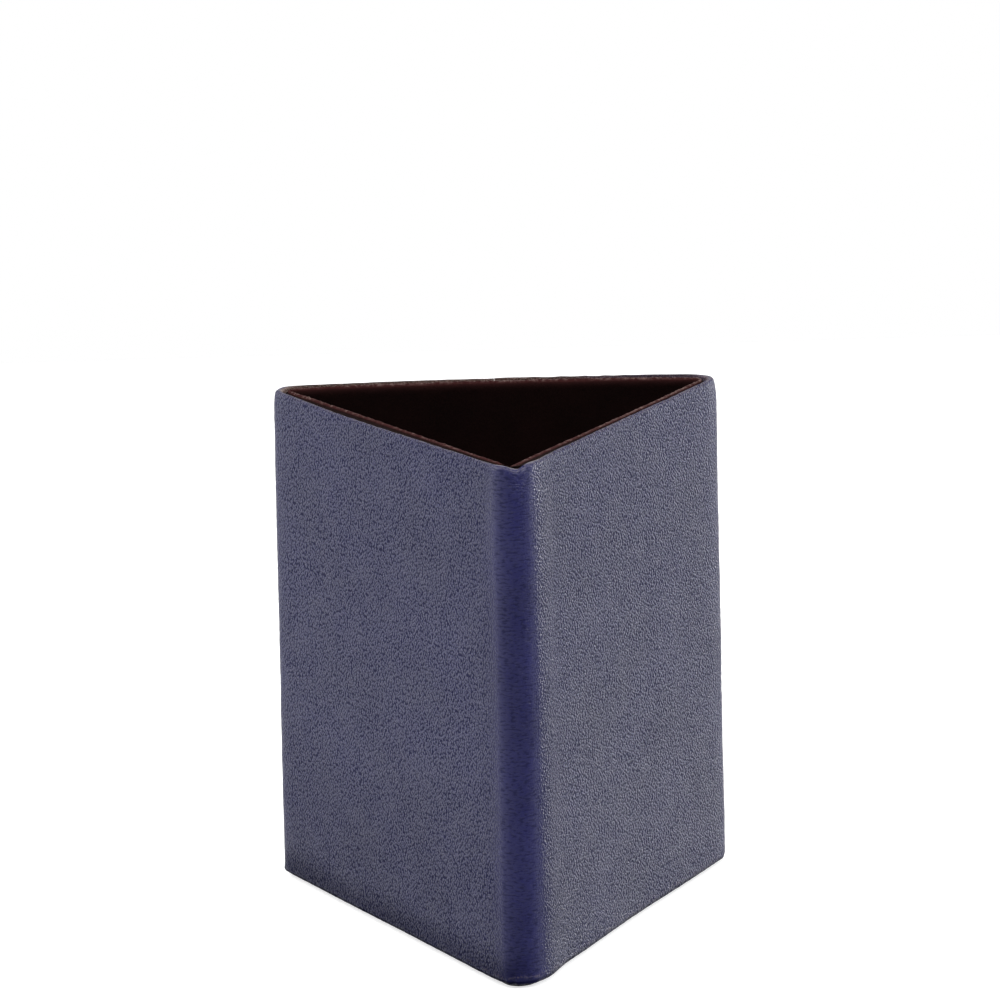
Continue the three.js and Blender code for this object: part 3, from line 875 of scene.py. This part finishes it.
def base_cover():
    """The sheet glued under the base. Its edge is cut by hand, so it isn't quite even."""
    outside = closed_outline(BASE_COVER_INSET, BASE_COVER_CORNER_RADIUS)
    edge_wrap = distance_along(outside)
    zero = np.zeros_like(edge_wrap)
    uneven = 0.06 * ripples(edge_wrap, zero, 20, 41) + 0.02 * ripples(edge_wrap, zero, 1.5, 42)
    ends = np.minimum(edge_wrap, edge_wrap[-1] - edge_wrap)
    outside = outside - outward(outside) * (0.12 + uneven * smooth(ends, 0, 2))[:, None]
    profile = [(share, 0.0) for share in np.linspace(0.02, 0.985, 30)]
    profile += [(0.996, 0.05), (1.0, 0.14), (1.0, BASE_COVER_TOP - 0.1), (0.996, BASE_COVER_TOP),
                (0.5, BASE_COVER_TOP), (0.02, BASE_COVER_TOP)]
    grid = rings(outside, profile)
    return skin("base_sheet", grid, grid[:, :, :2].copy(), "columns")


# ---------------------------------------------------------------- studio

FLOOR_HALF = 0.5
FLOOR_GREY = (0.6, 0.6, 0.6)
FLOOR_GLOW = 0.65  # the floor gives off some light of its own, as a lit table does
WHITE = (1.0, 1.0, 1.0)
WORLD_FRONT = 0.0  # strength of the world's light on the camera's side
WORLD_BACK = 1.2  # and on the bright side
WORLD_TURN = math.radians(24)  # the bright side is turned this far to the left
WORLD_RAMP = (-1.0, 0.6)  # cosines to the bright side where the light is weakest and strongest
CUP_MIDDLE = (0, 0, HEIGHT / 2 * MM)
# (name, place in metres, size in metres, watts)
SOFTBOXES = (
    ("left_softbox", (-0.80, 0.05, 0.60), (0.5, 0.5), 4.0),
    ("right_softbox", (0.66, 0.54, 0.06), (0.2, 0.2), 2.35),
    ("front_softbox", (0.0, -0.50, 0.90), (0.7, 0.7), 6.0),
    ("high_softbox", (1.50, -0.75, 1.30), (0.8, 0.8), 24.5),
)


def add_floor():
    """A wide pale floor. It is left out of reflections, where the world stands for it."""
    half = FLOOR_HALF
    corners = [(-half, -half, 0), (half, -half, 0), (half, half, 0), (-half, half, 0)]
    mesh = bpy.data.meshes.new("floor")
    mesh.from_pydata(corners, [], [(0, 1, 2, 3)])
    floor = bpy.data.objects.new("floor", mesh)
    bpy.context.scene.collection.objects.link(floor)
    surface = Surface("pale_floor")
    mesh.materials.append(surface.finish(Base_Color=FLOOR_GREY, Roughness=0.9, Specular_IOR_Level=0.0,
                                         Emission_Color=WHITE, Emission_Strength=FLOOR_GLOW))
    floor.visible_glossy = False


def add_world():
    """White backdrop. As a light it is bright behind and at the sides, and dark on the camera's side."""
    world = bpy.data.worlds.new("studio")
    world.use_nodes = True
    tree = world.node_tree
    tree.nodes.clear()
    direction = tree.nodes.new("ShaderNodeTexCoord")
    behind = tree.nodes.new("ShaderNodeVectorMath")
    behind.operation = "DOT_PRODUCT"
    behind.inputs[1].default_value = (-math.sin(WORLD_TURN), math.cos(WORLD_TURN), 0)
    tree.links.new(direction.outputs["Generated"], behind.inputs[0])
    ramp = tree.nodes.new("ShaderNodeMapRange")
    limits = (*WORLD_RAMP, WORLD_FRONT, WORLD_BACK)
    for socket, value in zip(("From Min", "From Max", "To Min", "To Max"), limits):
        ramp.inputs[socket].default_value = value
    tree.links.new(behind.outputs["Value"], ramp.inputs["Value"])
    light = tree.nodes.new("ShaderNodeBackground")
    tree.links.new(ramp.outputs["Result"], light.inputs["Strength"])
    backdrop = tree.nodes.new("ShaderNodeBackground")
    for background in (light, backdrop):
        background.inputs["Color"].default_value = (*WHITE, 1)
    ray = tree.nodes.new("ShaderNodeLightPath")
    mix = tree.nodes.new("ShaderNodeMixShader")
    output = tree.nodes.new("ShaderNodeOutputWorld")
    tree.links.new(ray.outputs["Is Camera Ray"], mix.inputs[0])
    tree.links.new(light.outputs[0], mix.inputs[1])
    tree.links.new(backdrop.outputs[0], mix.inputs[2])
    tree.links.new(mix.outputs[0], output.inputs[0])
    bpy.context.scene.world = world


def add_softbox(name, place, aim, size, power):
    data = bpy.data.lights.new(name, "AREA")
    data.shape = "RECTANGLE"
    data.size, data.size_y = size
    data.energy = power
    light = bpy.data.objects.new(name, data)
    light.location = place
    light.rotation_mode = "QUATERNION"
    light.rotation_quaternion = (Vector(place) - Vector(aim)).to_track_quat("Z", "Y")
    bpy.context.scene.collection.objects.link(light)


# ---------------------------------------------------------------- scene

add_camera()
add_world()
for name, place, size, power in SOFTBOXES:
    add_softbox(name, place, CUP_MIDDLE, size, power)
add_floor()
bpy.context.scene.view_settings.view_transform = "Standard"

add_piece(Cover().build(), "outer_cover", leatherette())
panel_suede = suede("panel_suede", 9.0)
for wall, seed in (("left", 11), ("right", 15), ("back", 19)):
    add_piece(wall_lining(wall, seed), wall + "_wall_lining", panel_suede)
add_piece(floor_lining(), "floor_lining", suede("floor_suede", 14.0))
add_piece(base_cover(), "base_cover", base_sheet())

board = fibreboard()
for node in ("base_board", "left_wall_board", "right_wall_board", "back_wall_board"):
    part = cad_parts[node]
    part.data.materials.clear()
    part.data.materials.append(board)
